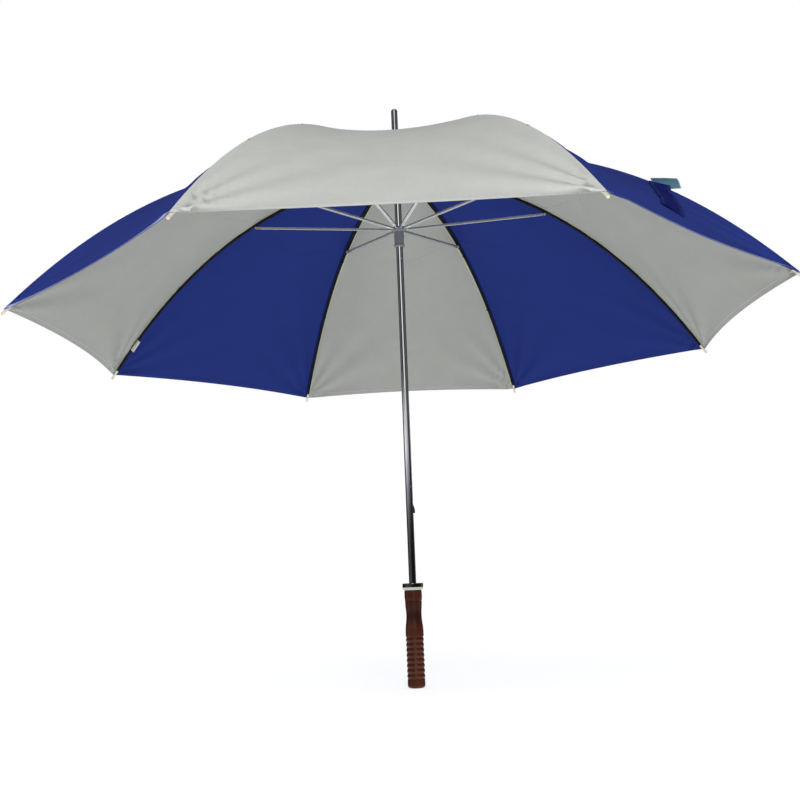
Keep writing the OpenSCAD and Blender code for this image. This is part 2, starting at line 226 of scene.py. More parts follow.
def cloth(name, colour, crease=1.0, sheen=0.02, gloss=0.08):
    """Plain-weave nylon: threads 0.45 mm apart, faint slubs and soft creases."""
    thread, bands_per_unit = 0.00045, 20
    n = Nodes(name)
    threads = {"Vector": n.coords((1, 1, 1), "UV"), "Scale": 1 / (thread * bands_per_unit),
               "Distortion": 0.6, "Detail": 1.0}
    waves = [
        n.add("ShaderNodeTexWave", threads, wave_type="BANDS", bands_direction=axis).outputs["Fac"]
        for axis in ("X", "Y")
    ]
    weave = n.math("MULTIPLY", *waves)
    place = n.coords((1, 1, 1))
    slub = n.noise(n.coords((1, 1, 9)), 160, 3)
    mottle = n.noise(place, 22, 5, 0.6)
    tone = n.math("ADD", n.math("MULTIPLY", weave, 0.1), n.math("MULTIPLY", mottle, 0.5))
    tone = n.math("ADD", tone, n.math("MULTIPLY", slub, 0.4))
    n.set(Base_Color=n.ramp(tone, scaled(colour, 0.92), scaled(colour, 1.06), 0.25, 0.72))
    n.set(Roughness=n.level(mottle, 0.7, 0.86), Specular_IOR_Level=gloss)
    n.set(Sheen_Weight=sheen, Sheen_Roughness=0.45)
    soft = n.bump(n.noise(place, 14, 6, 0.62), 0.35 * crease, 0.004)
    n.set(Normal=n.bump(weave, 0.35, 0.0002, soft))
    return n.material


def chrome(name, tint, rough=0.07):
    """Bright plate with fine drawing lines along the tube and a few hazy patches."""
    n = Nodes(name)
    lines = n.noise(n.coords((260, 260, 3)), 6, 5, 0.7)
    haze = n.noise(n.coords((1, 1, 1)), 35, 4)
    n.set(Metallic=1.0, Base_Color=n.ramp(haze, scaled(tint, 0.86), tint, 0.3, 0.7))
    n.set(Roughness=n.level(n.math("MULTIPLY", lines, haze), rough * 0.5, rough * 1.8))
    n.set(Normal=n.bump(lines, 0.06, 0.00005))
    return n.material


def plated(name, tint, rough, metallic=1.0):
    """Zinc-plated or galvanised sheet with soft spangle and rolling marks."""
    n = Nodes(name)
    spangle = n.noise(n.coords((1, 1, 1)), 420, 3, 0.5)
    marks = n.noise(n.coords((40, 40, 40)), 5, 4)
    n.set(Metallic=metallic, Base_Color=n.ramp(spangle, scaled(tint, 0.88), scaled(tint, 1.08), 0.25, 0.75))
    n.set(Roughness=n.level(marks, rough * 0.8, rough * 1.2), Normal=n.bump(spangle, 0.05, 0.00005))
    return n.material


def enamel(name, colour, worn):
    """Thin black enamel on steel, rubbed lighter in places."""
    n = Nodes(name)
    wear = n.noise(n.coords((1, 1, 1)), 240, 6, 0.7)
    n.set(Base_Color=n.ramp(wear, colour, worn, 0.55, 0.78), Metallic=0.35)
    n.set(Roughness=n.level(wear, 0.3, 0.55), Normal=n.bump(wear, 0.1, 0.0001))
    return n.material


def plastic(name, colour, rough):
    """Moulded plastic with a fine grain and slight flow marks."""
    n = Nodes(name)
    flow = n.noise(n.coords((1, 1, 1)), 60, 4)
    fine = n.noise(n.coords((1, 1, 1)), 700, 2)
    n.set(Base_Color=n.ramp(flow, scaled(colour, 0.86), scaled(colour, 1.08), 0.3, 0.7))
    n.set(Roughness=n.level(flow, rough * 0.8, rough * 1.2), Normal=n.bump(fine, 0.12, 0.00012))
    return n.material


def varnished_wood(name):
    """Turned hardwood under a red-brown varnish, darker in the grain, with painted shade in the grooves and
    at the waist.
    """
    n = Nodes(name)
    streaks = n.noise(n.coords((38, 38, 2.4)), 4.5, 8, 0.62)
    pores = n.noise(n.coords((420, 420, 16)), 3, 4, 0.6)
    figure = n.noise(n.coords((9, 9, 3)), 3.2, 3)
    grain = n.math("ADD", n.math("MULTIPLY", streaks, 0.62), n.math("MULTIPLY", figure, 0.38))
    # Painted shade: where the radius is small, in the grooves and at the waist, the wood is drawn darker than
    # on the rings and the bulge.
    place = n.add("ShaderNodeTexCoord").outputs["Object"]
    flat = n.add("ShaderNodeVectorMath", {0: place, 1: (1, 1, 0)}, operation="MULTIPLY").outputs[0]
    radius = n.add("ShaderNodeVectorMath", {0: flat}, operation="LENGTH").outputs["Value"]
    ring_height = {"Value": radius, "From Min": GROOVE_R, "From Max": RING_R}
    raised = n.add("ShaderNodeMapRange", ring_height).outputs["Result"]
    rich = n.ramp(grain, (0.026, 0.004, 0.0012), (0.135, 0.028, 0.006), 0.3, 0.72)
    painted_groove_shade = n.ramp(grain, (0.012, 0.002, 0.001), (0.050, 0.008, 0.003), 0.3, 0.72)
    base = n.add("ShaderNodeMix", {0: raised, 6: painted_groove_shade, 7: rich}, data_type="RGBA").outputs[2]
    n.set(Base_Color=base, Roughness=n.level(streaks, 0.34, 0.5), Specular_IOR_Level=0.2)
    n.set(Coat_Weight=0.3, Coat_Roughness=0.16, Normal=n.bump(pores, 0.1, 0.00015))
    return n.material


WHITE = (0.63, 0.64, 0.605)
BLUE = (0.027, 0.049, 0.275)

looks = {
    "white": cloth("white_nylon", WHITE),
    "blue": cloth("blue_nylon", BLUE, sheen=0.0, gloss=0.04),
    # The inner colours are darker copies of the white and the blue: painted shade for the canopy's underside.
    "white_inner": cloth("white_nylon_inner_painted_shade", (0.385, 0.392, 0.365)),
    "blue_inner": cloth("blue_nylon_inner_painted_shade", (0.018, 0.034, 0.190), sheen=0.0, gloss=0.04),
    "white_hem": cloth("white_nylon_hem", scaled(WHITE, 1.05), crease=0.5),
    "blue_hem": cloth("blue_nylon_hem", scaled(BLUE, 1.1), crease=0.5, sheen=0.0, gloss=0.04),
    "white_stitch": cloth("white_thread", scaled(WHITE, 0.85), crease=0.3),
    "blue_stitch": cloth("blue_thread", scaled(BLUE, 0.6), crease=0.3, sheen=0.0, gloss=0.04),
    "white_edge": cloth("white_edge_thread", (0.74, 0.75, 0.74), crease=0.3),
    "blue_edge": cloth("pale_edge_thread", (0.40, 0.42, 0.66), crease=0.3),
    "blue_dark": cloth("blue_nylon_strap", (0.011, 0.014, 0.14), sheen=0.0, gloss=0.03),
    "white_seam": cloth("cream_seam_binding", (0.56, 0.60, 0.42), crease=0.4),
    "blue_seam": cloth("navy_seam_binding", scaled(BLUE, 0.4), crease=0.4, sheen=0.0, gloss=0.04),
    "shaft": chrome("shaft_plate", (0.80, 0.81, 0.83)),
    "collar": chrome("collar_plate", (0.66, 0.66, 0.63), 0.05),
    "ferrule": chrome("ferrule_plate", (0.70, 0.71, 0.72), 0.12),
    "wood": varnished_wood("red_brown_wood"),
    "rib": enamel("rib_enamel", (0.006, 0.009, 0.010), (0.06, 0.065, 0.07)),
    "stretcher": plated("stretcher_plate", (0.84, 0.86, 0.88), 0.24, 0.75),
    "wire": plated("bright_wire", (0.62, 0.62, 0.62), 0.22),
    "catch": enamel("blued_spring", (0.018, 0.019, 0.022), (0.16, 0.16, 0.17)),
    "runner": plastic("runner_grey", (0.20, 0.215, 0.235), 0.42),
    "crown": plastic("crown_grey", (0.16, 0.17, 0.18), 0.45),
    "cap": plastic("cap_white", (0.62, 0.62, 0.59), 0.4),
    "tip": plastic("tip_cream", (0.76, 0.74, 0.60), 0.32),
    "thread": cloth("black_thread", (0.012, 0.012, 0.016)),
    "tab": cloth("teal_tab", (0.20, 0.42, 0.55), 0.3),
    "tab_edge": cloth("teal_tab_edge", (0.42, 0.62, 0.70), 0.3),
    "label": cloth("cream_ribbon", (0.74, 0.72, 0.64), 0.3),
}


# ---- Carried-over CAD pieces ----

def paint(node, look):
    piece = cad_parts[node]
    piece.data.materials.clear()
    piece.data.materials.append(looks[look])


PAINTED = {
    "shaft": "shaft", "handle": "wood", "handle_collar": "collar", "ferrule": "ferrule", "cap_washer": "cap",
    "crown": "crown", "crown_wire": "wire", "runner": "runner", "runner_wire": "wire",
    "top_catch": "catch", "bottom_catch": "catch", "catch_pins": "wire", "stop_pin": "wire",
}
for node_name, look_name in PAINTED.items():
    paint(node_name, look_name)
for k in range(1, RIBS + 1):
    paint(f"rib_{k}_inner", "rib")
    paint(f"rib_{k}_outer", "rib")
    paint(f"rib_{k}_tip", "tip")
    paint(f"stretcher_{k}", "stretcher")


# ---- Canopy ----

def fabric_z(r):
    return CROWN_Z - CROWN_SLOPE * r - RIB_DROP * (r / OPEN_R) ** RIB_BEND


def fabric_slope(r):
    return -CROWN_SLOPE - RIB_DROP * RIB_BEND / OPEN_R * (r / OPEN_R) ** (RIB_BEND - 1)


def wrinkles(k, u, across):
    """How far the cloth stands off its smooth shape at a fraction u down panel k.

    across is -1 to 1, rib to rib. The fan spreads from the rib tips, the pucker follows the seams, and the
    drape is a slow wave over the whole panel."""
    fan_height, pucker_height, drape_height = 0.0026, 0.0003, 0.0007
    edge = 1 - np.abs(across)
    aside = 0.34 * edge
    near_tip = smooth((u - 0.6) / 0.35) * smooth(edge / 0.06)
    corner = np.hypot(1 - u, aside) + 1e-6
    angle = np.arctan2(aside, 1 - u + 1e-6)
    fan = np.sin(angle * 13 + 1.9 * k) * np.exp(-corner / 0.24) * smooth(corner / 0.03) * near_tip
    pucker = np.sin(u * 150 + 9 * np.sin(u * 11 + k)) * np.exp(-((edge / 0.05) ** 2)) * smooth(edge / 0.01)
    drape = np.sin(u * 6.5 + 1.3 * k) * np.cos(across * 2.6 + 0.8 * k) * smooth(edge / 0.3) * smooth(u / 0.3)
    calm_at_hem = 1 - 0.7 * smooth((u - 0.8) / 0.2)
    return fan * fan_height + pucker * pucker_height + drape * drape_height * calm_at_hem


def panel_at(k, side, r, chord, depth):
    """Point of panel k at rest, at radius r in the half beside one of its two ribs.

    side is 1 for the half beside rib k and -1 beside rib k + 1. chord is 0 on the rib and 1 halfway across.
    The sag is greatest at u = 0.625, where u * (1.25 - u) is 0.39."""
    y = chord * r * math.sin(HALF) * math.cos(HALF)
    x = r - y * TAN_HALF
    u = np.clip((r - START_R) / (CORNER_R - START_R), 0, 1.02)
    sag = PANEL_SAG * u * (1.25 - u) / 0.39 * (1 - (1 - chord) ** 2)
    down = depth + sag - wrinkles(k, u, side * (1 - chord))
    slope = fabric_slope(r)
    size = np.hypot(1, slope)
    lean = HALF * chord
    points = np.stack([
        x + down * slope / size * np.cos(lean),
        y + down * slope / size * np.sin(lean),
        fabric_z(r) - down / size,
    ], axis=-1)
    points[..., 1] *= side
    return turn_z(points, rib_azimuth(rib_beside(k, side)))


def rib_beside(k, side):
    return k if side > 0 else k % RIBS + 1


def panel_surface(k, side, station, share, depth=0.0):
    """Points of panel k at rest, on lines across the half beside one of its ribs.

    station is the radius on the rib that a line starts from, and share is 0 on the rib and 1 on the panel's
    middle line. Lines run square to the rib at its flex, and along the hem at the hem."""
    station, share = np.broadcast_arrays(np.asarray(station, float), np.asarray(share, float))
    u = (station - START_R) / (CORNER_R - START_R)
    along = np.where(
        station < FLEX_R,
        1 - smooth((station - START_R) / (FLEX_R - START_R)),
        smooth((station - FLEX_R) / (0.8 * (CORNER_R - FLEX_R))),
    )
    lifted = station - HEM_RISE * 0.75 * u ** 8 * (1 - (1 - share) ** 2)
    y = share * lifted * TAN_HALF / (1 + along * TAN_HALF ** 2)
    x = lifted - along * y * TAN_HALF
    r = x + y * TAN_HALF
    chord = np.clip(y / math.cos(HALF) / np.maximum(r * math.sin(HALF), 1e-9), 0, 1)
    return panel_at(k, side, r, chord, depth)


def panel_normals(k, side, station, share):
    """Unit normals of the outer face, by small steps, so that neighbouring pieces shade as one cloth."""
    d_station, d_share = 0.0005, 0.002
    above, below = (panel_surface(k, side, station + step, share) for step in (-d_station, d_station))
    low, high = (panel_surface(k, side, station, np.clip(share + step, 0, 1)) for step in (-d_share, d_share))
    return unit(np.cross(below - above, high - low) * side)


def grid_shell(outer, inner, n_outer):
    """A thin closed shell between two grids of points: its vertices, faces and their corners' normals."""
    rows, cols = outer.shape[:2]
    count = rows * cols
    verts = np.concatenate([outer.reshape(-1, 3), inner.reshape(-1, 3)])
    index = np.arange(count).reshape(rows, cols)
    a, b, c, d = index[:-1, :-1], index[:-1, 1:], index[1:, 1:], index[1:, :-1]
    top = np.stack([a, d, c, b], -1).reshape(-1, 4)
    bottom = np.stack([a, b, c, d], -1).reshape(-1, 4) + count
    rim = np.concatenate([index[0, :], index[1:, -1], index[-1, -2::-1], index[-2:0:-1, 0]])
    nxt = np.roll(rim, -1)
    wall = np.stack([rim, nxt, nxt + count, rim + count], -1)
    flat_normals = n_outer.reshape(-1, 3)
    normals = np.concatenate([flat_normals[top.ravel()], -flat_normals[bottom.ravel() - count]])
    return verts, top, bottom, wall, normals


def cloth_piece(name, k, side, shells, materials):
    """Joins closed shells into one smooth piece.

    Each shell is its outer grid, inner grid, outer normals, and the slots of its outer face and the rest."""
    verts, faces, slots, loops, count = [], [], [], [], 0
    for out_grid, in_grid, n_grid, slot in shells:
        if side < 0:
            out_grid, in_grid, n_grid = out_grid[:, ::-1], in_grid[:, ::-1], n_grid[:, ::-1]
        v, top, bottom, wall, normals = grid_shell(out_grid, in_grid, n_grid)
        rim = unit(np.cross(v[wall[:, 1]] - v[wall[:, 0]], v[wall[:, 3]] - v[wall[:, 0]]))
        for group in (top, bottom, wall):
            faces.extend((group + count).tolist())
        slots.extend([slot[0]] * len(top) + [slot[1]] * (len(bottom) + len(wall)))
        loops.extend([normals, np.repeat(rim, 4, axis=0)])
        verts.append(v)
        count += len(v)
    piece = new_object(name, np.concatenate(verts), faces, materials, slots)
    add_cloth_uv(piece, k)
    piece.data.normals_split_custom_set(np.concatenate(loops).tolist())
    piece.visible_glossy = False
    return piece


def half_panel(k, side, part):
    """One half of a panel, inside or outside the rib's flex."""
    steps, across = (34, 20) if part == "inner" else (46, 20)
    first, last = (START_R, FLEX_R) if part == "inner" else (FLEX_R, CORNER_R)
    share = np.linspace(0, 1, across + 1)
    share = 0.55 * share + 0.45 * share ** 2
    station, share = np.meshgrid(np.linspace(first, last, steps + 1), share, indexing="ij")
    normal = panel_normals(k, side, station, share)
    outer = panel_surface(k, side, station, share, CLOTH_DEPTH)
    shells = [(outer, outer - normal * CLOTH_T, normal, (0, 1))]
    if part == "outer":
        hem_at, edge_at, hem_t = CORNER_R - HEM_W, CORNER_R + HEM_PAST - EDGE_W, CLOTH_T + 2 * HEM_LIFT
        lap = np.linspace(FLEX_R - LAP_W, FLEX_R + LAP_PAST, 5)
        hem = np.linspace(hem_at, edge_at, 4)
        edge = np.linspace(edge_at, edge_at + EDGE_W, 3)
        stitch = np.linspace(hem_at + STITCH_IN, hem_at + STITCH_IN + STITCH_W, 2)
        shells += [
            band(k, side, lap, share[0], CLOTH_T + HAIR, 0.0002, (0, 1)),
            band(k, side, hem, share[0], -HEM_LIFT, hem_t, (2, 1)),
            band(k, side, edge, share[0], -HEM_LIFT - HAIR, hem_t + 2 * HAIR, (4, 1)),
            band(k, side, stitch, share[0], -HEM_LIFT - 2 * HAIR, hem_t + 4 * HAIR, (3, 3)),
        ]
    colour = cloth_colour(k)
    name = f"panel_{k}_{'left' if side > 0 else 'right'}_{part}"
    # The second finish, on the inner face and the rims, is the darker inner copy: painted shade.
    finishes = [looks[colour + end] for end in ("", "_inner", "_hem", "_stitch", "_edge")]
    return cloth_piece(name, k, side, shells, finishes)


def band(k, side, stations, shares, below, thick, slot):
    """A strip of cloth along given stations, its outer face at a depth below the canopy's."""
    station, share = np.meshgrid(stations, shares, indexing="ij")
    normal = panel_normals(k, side, station, share)
    base = panel_surface(k, side, station, share, CLOTH_DEPTH) - normal * below
    return base, base - normal * thick, normal, slot


def cloth_colour(k):
    return "white" if k % 2 == 0 else "blue"


def seam(k, side, part):
    """The seam allowance beside a rib, bound in cream on a white panel and in navy on a blue one."""
    first, last, steps = (SEAM_START_R, FLEX_R, 26) if part == "inner" else (FLEX_R, CORNER_R - HEM_W, 34)
    station = np.linspace(first, last, steps + 1)[:, None]
    share = np.linspace(0.0, SEAM_W, 4)[None, :] / (station * TAN_HALF)
    station = np.broadcast_to(station, share.shape)
    normal = panel_normals(k, side, station, share)
    base = panel_surface(k, side, station, share, CLOTH_DEPTH) - normal * (CLOTH_T + 0.0003)
    name = f"seam_{k}_{'left' if side > 0 else 'right'}_{part}"
    shells = [(base, base - normal * 0.00035, normal, (0, 1))]
    return cloth_piece(name, k, side, shells, [looks[cloth_colour(k)], looks[cloth_colour(k) + "_seam"]])


def add_cloth_uv(piece, k):
    """Flat coordinates in metres, with v along the panel, so that the threads run as the cloth was cut."""
    local = turn_z(vertex_places(piece.data), -(rib_azimuth(k) + HALF))
    radius = np.hypot(local[:, 0], local[:, 1])
    bend = np.linspace(0, OPEN_R + 0.02, 200)
    length = np.concatenate([[0], np.cumsum(np.hypot(np.diff(bend), np.diff(fabric_z(bend))))])
    add_uv(piece.data, np.stack([local[:, 1], np.interp(radius, bend, length)], -1))


def fold_with(piece):
    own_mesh(piece)


def canopy():
    for k in range(1, RIBS + 1):
        for side in (1, -1):
            rib = rib_beside(k, side)
            for part, body in (("inner", f"rib_{rib}"), ("outer", f"rib_{rib}_end")):
                piece = half_panel(k, side, part)
                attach(piece, body)
                fold_with(piece)
                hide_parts(f"panel_{k}")
                strip = seam(k, side, part)
                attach(strip, body)
                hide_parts(f"panel_{k}")


def strap():
    """The closing strap, laid on its panel from near the middle line to the seam. It rides on rib 8's end, as
    the cloth beside it does.
    """
    steps, across, half_w = 40, 6, 0.009
    start_r, run_r, start_place, run_place, skew = 0.462, 0.122, 0.92, 0.87, 0.06
    top_rise, under_rise, hem_rise, hem_drop = 0.0019, 0.0009, 0.0002, 0.0001
    t, s = np.meshgrid(np.linspace(0, 1, steps + 1), np.linspace(-1, 1, across + 1), indexing="ij")
    r = start_r + run_r * t + half_w * s
    place = start_place - run_place * t + skew * s
    ruck = 0.0006 * np.sin(t * 21 + s) + 0.0004 * np.sin(t * 47 + 2 * s)
    end_lift = 0.003 * smooth((0.12 - t) / 0.12)
    outer, inner = (panel_at(STRAP_PANEL, -1, r, 1 - place, -rise - ruck - end_lift)
                    for rise in (top_rise, under_rise))
    normal = grid_normals(outer)
    if normal[0, 0, 2] < 0:
        normal = -normal
        outer, inner, normal = outer[:, ::-1], inner[:, ::-1], normal[:, ::-1]
    shells = [(outer, inner, normal, (0, 0))]
    for hem in (slice(0, 2), slice(across - 1, across + 1)):
        up = normal[:, hem]
        shells.append((outer[:, hem] + up * hem_rise, inner[:, hem] - up * hem_drop, up, (1, 1)))
    piece = cloth_piece("closing_strap", STRAP_PANEL, 1, shells, [looks["blue_dark"], looks["blue_stitch"]])
    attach(piece, "rib_8_end")
    fold_with(piece)
    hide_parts("tie_strap")


# ---- Small soft pieces ----

def weld_ends(grid, top, bottom, wall, verts):
    """Joins a shell's first column to its last, and drops the wall that stood between them."""
    rows, cols = grid.shape[:2]
    kept = np.arange(2 * rows * cols).reshape(2, rows, cols)
    kept[:, :, -1] = kept[:, :, 0]
    merged = kept.ravel()
    top, bottom, wall = merged[top], merged[bottom], merged[wall]
    sides = {}
    for face in wall.tolist():
        if len(set(face)) == 4:
            sides.setdefault(frozenset(face), []).append(face)
    wall = np.array([faces[0] for faces in sides.values() if len(faces) == 1])
    used = np.unique(merged)
    renumber = np.zeros(len(merged), int)
    renumber[used] = np.arange(len(used))
    return renumber[top], renumber[bottom], renumber[wall], verts[used]


def shell_piece(name, outer, inner, materials, wrap=False):
    """A closed sheet between two grids of points. wrap joins its first column to its last."""
    if wrap:
        outer, inner = (np.concatenate([grid, grid[:, :1]], axis=1) for grid in (outer, inner))
    verts, top, bottom, wall, _ = grid_shell(outer, inner, outer)
    if wrap:
        top, bottom, wall, verts = weld_ends(outer, top, bottom, wall, verts)
    piece = new_object(name, verts, np.concatenate([top, bottom, wall]).tolist(), materials)
    add_uv(piece.data, verts[:, :2])
    return piece


def rosette():
    """Round patch of the canopy's cloth under the cap, with a pinked edge that ripples a little."""
    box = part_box("rosette")
    rim, teeth, depth, inner_r, under_cap = box[1][0], 44, 0.0009, 0.0062, 0.0002
    angle, t = np.meshgrid(np.linspace(0, math.tau, 4 * teeth, endpoint=False), np.linspace(0, 1, 12))
    tooth = np.abs((angle * teeth / math.tau) % 1 - 0.5) * 2
    r = inner_r + (rim - depth * tooth - inner_r) * t
    ripple = 0.00018 * np.sin(angle * 7 + 1) * t ** 3 + 0.00012 * np.sin(angle * 17) * t ** 5
    z = box[1][2] - CROWN_SLOPE * r - under_cap + ripple
    top = np.stack([r * np.cos(angle), r * np.sin(angle), z], -1)
    piece = shell_piece("rosette_patch", top, top - [0, 0, CLOTH_T], [looks["white"]], wrap=True)
    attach(piece, "handle_and_shaft")
    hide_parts("rosette")


def rib_frame_points(node, k):
    """The CAD node's corners, turned so that rib k lies along X."""
    return turn_z(vertex_places(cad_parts[node].data), -rib_azimuth(k))


def strap_tab():
    """Pale tab at the strap's free end: two plies, stitched round, with corners that curl."""
    width, length, thick, overlap, rise, tilt = 0.042, 0.044, 0.0006, 0.008, 0.0028, math.radians(12)
    hem_w, hem_swell = 0.003, 0.00012
    t, s = np.meshgrid(np.linspace(0, 1, 23), np.linspace(0, 1, 27), indexing="ij")
    inset = np.minimum(np.minimum(t, 1 - t) * width, np.minimum(s, 1 - s) * length)
    swell = hem_swell * np.cos(np.clip(inset / hem_w, 0, 1) * math.pi)
    curl = 0.0012 * smooth((t - 0.5) * 2) * (s - 0.4) - 0.0014 * smooth((s - 0.6) * 2.5)
    curl = curl + 0.0003 * np.sin(s * 9 + t * 4)
    down_tab = np.array([math.cos(tilt), 0, -math.sin(tilt)])
    off_tab = np.array([math.sin(tilt), 0, math.cos(tilt)])
    corner = np.array([TAB_R, -overlap, fabric_z(TAB_R) + rise])
    base = corner + (t * width)[..., None] * down_tab + (s * length)[..., None] * np.array([0, 1, 0])
    faces = [base + (curl + thick / 2 + way * (thick / 2 + swell))[..., None] * off_tab for way in (1, -1)]
    top, under = (turn_z(face, rib_azimuth(STRAP_RIB)) for face in faces)
    piece = shell_piece("strap_end_tab", top, under, [looks["tab"], looks["tab_edge"]])
    border = np.ones((t.shape[0] - 1, t.shape[1] - 1), np.int32)
    border[1:-1, 1:-1] = 0
    slots = np.ones(len(piece.data.polygons), np.int32)
    slots[:2 * border.size] = np.tile(border.ravel(), 2)
    piece.data.polygons.foreach_set("material_index", slots)
    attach(piece, f"rib_{STRAP_RIB}_end")
    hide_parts("strap_tab")


def care_label():
    """Ribbon label caught in a seam: folded in half, its two plies parting a little below the stitching."""
    corners = rib_frame_points("care_label", LABEL_RIB)
    low, high = corners.min(axis=0), corners.max(axis=0)
    lean = math.atan(-fabric_slope(LABEL_R))
    down_rib = np.array([math.cos(lean), 0, -math.sin(lean)])
    out = np.array([math.sin(lean), 0, math.cos(lean)])
    along, across = corners @ down_rib, corners @ out
    length, drop = along.max() - along.min(), across.max() - across.min()
    origin = down_rib * along.min() + out * across.max() + np.array([0, (low[1] + high[1]) / 2, 0])
    ply_t = 0.0002
    t, s = np.meshgrid(np.linspace(0, 1, 14), np.linspace(-1, 1, 25), indexing="ij")
    gap = 0.0005 + 0.0007 * np.sin(np.abs(s) * math.pi) * (1 + 0.4 * np.sin(t * 5))
    fold = smooth(np.abs(s) / 0.18)
    y = np.sign(s) * gap * fold + 0.0006 * np.sin(t * 4 + 1) * (1 - np.abs(s))
    down = drop * (1 - np.abs(s) * 0.98)
    base = origin + t[..., None] * length * down_rib - down[..., None] * out
    base = base + y[..., None] * np.array([0, 1, 0])
    half_ply = grid_normals(base) * ply_t / 2
    outer, inner = (turn_z(base + way * half_ply, rib_azimuth(LABEL_RIB)) for way in (1, -1))
    piece = shell_piece("folded_label", outer, inner, [looks["label"]])
    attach(piece, f"rib_{LABEL_RIB}_end")
    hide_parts("care_label")


def add_tube(verts, faces, line, radius, ring=8):
    """Adds a closed tube round a line of points, with ring corners on each of its circles."""
    way = unit(np.gradient(line, axis=0))
    aside = unit(np.cross(way, [0.31, 0.17, 0.93]))
    other = np.cross(way, aside)
    q = np.linspace(0, math.tau, ring, endpoint=False)[None, :, None]
    tube = line[:, None] + radius * (np.cos(q) * aside[:, None] + np.sin(q) * other[:, None])
    index = sum(len(v) for v in verts) + np.arange(len(line) * ring).reshape(-1, ring)
    nxt = np.roll(index, -1, axis=1)
    faces.extend(np.stack([index[:-1], nxt[:-1], nxt[1:], index[1:]], -1).reshape(-1, 4).tolist())
    faces.extend([index[0, ::-1].tolist(), index[-1].tolist()])
    verts.append(tube.reshape(-1, 3))


def thread_tie(k, number, tie_r):
    """Black thread round rib k and its seam: four turns that aren't quite even, and a knot."""
    turns, per_turn, thread_r, pitch, knot_size = 4, 28, 0.00032, 2.1, 0.0009
    half_w, top_depth, low_depth = 0.0022, CLOTH_T, RIB_GAP + RIB_H + 0.0005
    slope = fabric_slope(tie_r)
    down_rib, inward = np.array([1, 0, slope]), np.array([slope, 0, -1])
    down_rib, inward = down_rib / math.hypot(1, slope), inward / math.hypot(1, slope)
    seam_at = np.array([tie_r, 0, fabric_z(tie_r)])
    a = np.linspace(0, turns * math.tau, turns * per_turn + 1)
    c, d = np.cos(a), np.sin(a)
    reach = 1 / np.maximum(np.abs(c), np.abs(d)) ** 0.75 * (1 + 0.05 * np.sin(a * 1.7 + k + number))
    wide = half_w * c * reach
    deep = (top_depth + low_depth) / 2 + (low_depth - top_depth) / 2 * d * reach
    run = (a / a[-1] - 0.5) * turns * thread_r * pitch
    path = seam_at + wide[:, None] * np.array([0, 1, 0]) + deep[:, None] * inward + run[:, None] * down_rib
    b = np.linspace(0, math.tau, 40)
    loop = np.stack([np.sin(b) + 0.5 * np.sin(2 * b), 0.9 * np.cos(b) - 0.5 * np.cos(2 * b),
                     0.7 * np.sin(3 * b)], -1)
    knot = seam_at + np.array([0, half_w * 1.05, 0]) + inward * low_depth * 0.8 + knot_size * loop
    verts, faces = [], []
    add_tube(verts, faces, path, thread_r)
    add_tube(verts, faces, knot, thread_r * 1.5)
    points = turn_z(np.concatenate(verts), rib_azimuth(k))
    piece = new_object(f"tie_{k}_{number}", points, faces, [looks["thread"]])
    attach(piece, f"rib_{k}_end")


def thread_ties():
    for k in range(1, RIBS + 1):
        for number, tie_r in enumerate(TIE_AT, 1):
            thread_tie(k, number, tie_r)


canopy()
strap()
rosette()
strap_tab()
care_label()
thread_ties()


# ---- Floor, light and camera ----

def camera():
    away, azimuth, height = 1.597, math.radians(-88.79), 0.1958
    look_azimuth, look_up, roll = math.radians(91.55), math.radians(10.11), math.radians(-2.19)
    level = math.cos(look_up)
    forward = Vector((math.cos(look_azimuth) * level, math.sin(look_azimuth) * level, math.sin(look_up)))
    right = forward.cross(Vector((0, 0, 1))).normalized()
    up = right.cross(forward)
    right, up = right * math.cos(roll) + up * math.sin(roll), up * math.cos(roll) - right * math.sin(roll)
    data = bpy.data.cameras.new("camera")
    data.lens = 42.16
    data.sensor_width = 36
    cam = bpy.data.objects.new("camera", data)
    place = Vector((away * math.cos(azimuth), away * math.sin(azimuth), height))
    cam.matrix_world = Matrix.Translation(place) @ Matrix((right, up, -forward)).transposed().to_4x4()
    bpy.context.scene.collection.objects.link(cam)
    bpy.context.scene.camera = cam


def floor():
    n = Nodes("floor_pale")
    speck = n.noise(n.coords((1, 1, 1)), 30, 3)
    n.set(Base_Color=n.ramp(speck, (0.90, 0.90, 0.90), (0.93, 0.93, 0.93)), Roughness=0.9)
    n.set(Specular_IOR_Level=0.0, Emission_Color=(1, 1, 1, 1), Emission_Strength=0.66)
    size = 40
    corners = [(-size, -size, 0), (size, -size, 0), (size, size, 0), (-size, size, 0)]
    piece = new_object("floor", corners, [(0, 1, 2, 3)], [n.material])
    piece.visible_glossy = False


def softbox(name, place, target, size, power):
    data = bpy.data.lights.new(name, "AREA")
    data.shape = "RECTANGLE"
    data.size, data.size_y = size
    data.energy = power
    light = bpy.data.objects.new(name, data)
    light.location = place
    light.rotation_mode = "QUATERNION"
    light.rotation_quaternion = (Vector(target) - Vector(place)).to_track_quat("-Z", "Y")
    light.visible_glossy = False
    bpy.context.scene.collection.objects.link(light)


